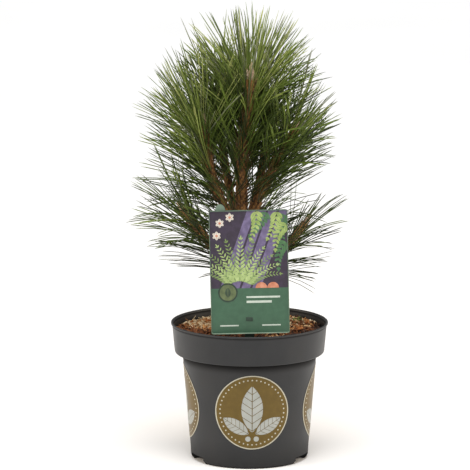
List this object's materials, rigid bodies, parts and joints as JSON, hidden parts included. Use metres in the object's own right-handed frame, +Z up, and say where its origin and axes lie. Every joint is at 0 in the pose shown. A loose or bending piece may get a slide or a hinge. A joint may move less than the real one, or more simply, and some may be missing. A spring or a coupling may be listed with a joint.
{
  "type": "potted pine tree",
  "caption": "Young columnar pine with long needles in a round collared nursery pot, with a plant label standing on a stake at its front.",
  "frame": {"origin": "middle of the pot's flat underside", "axes": "+Z up along the trunk, -Y towards the front, where the label stands"},
  "size_m": [0.2655, 0.2328, 0.5522],
  "materials": {
    "pot_plastic": "satin anthracite moulding",
    "badge_print": "satin gold and silver print",
    "growing_medium": "rough bark chips and fibres",
    "label_card": "satin coated card",
    "label_stake": "plain dark green",
    "bark": "rough and scaly",
    "needles": "waxy green",
    "buds": "pale resinous scales"
  },
  "bodies": {
    "root": {"pot": "pot_plastic", "badge_1": "badge_print", "badge_2": "badge_print", "badge_3": "badge_print", "badge_4": "badge_print", "growing_medium": "growing_medium", "label_card": "label_card", "label_stake": "label_stake", "trunk": "bark", "bough_left": "bark", "bough_right": "bark", "bough_back_left": "bark", "bough_back_right": "bark", "bough_lower_left": "bark", "bough_lower_right": "bark", "bough_lower_back": "bark", "bough_lower_front": "bark", "needles_leader_low": "needles", "needles_leader_middle": "needles", "needles_leader_top": "needles", "needles_left": "needles", "needles_right": "needles", "needles_back_left": "needles", "needles_back_right": "needles", "needles_lower_left": "needles", "needles_lower_right": "needles", "needles_lower_back": "needles", "needles_lower_front": "needles", "buds_leader": "buds", "bud_left": "buds", "bud_right": "buds", "bud_back_left": "buds", "bud_back_right": "buds", "bud_lower_left": "buds", "bud_lower_right": "buds", "bud_lower_back": "buds", "bud_lower_front": "buds"}
  },
  "joints": []
}
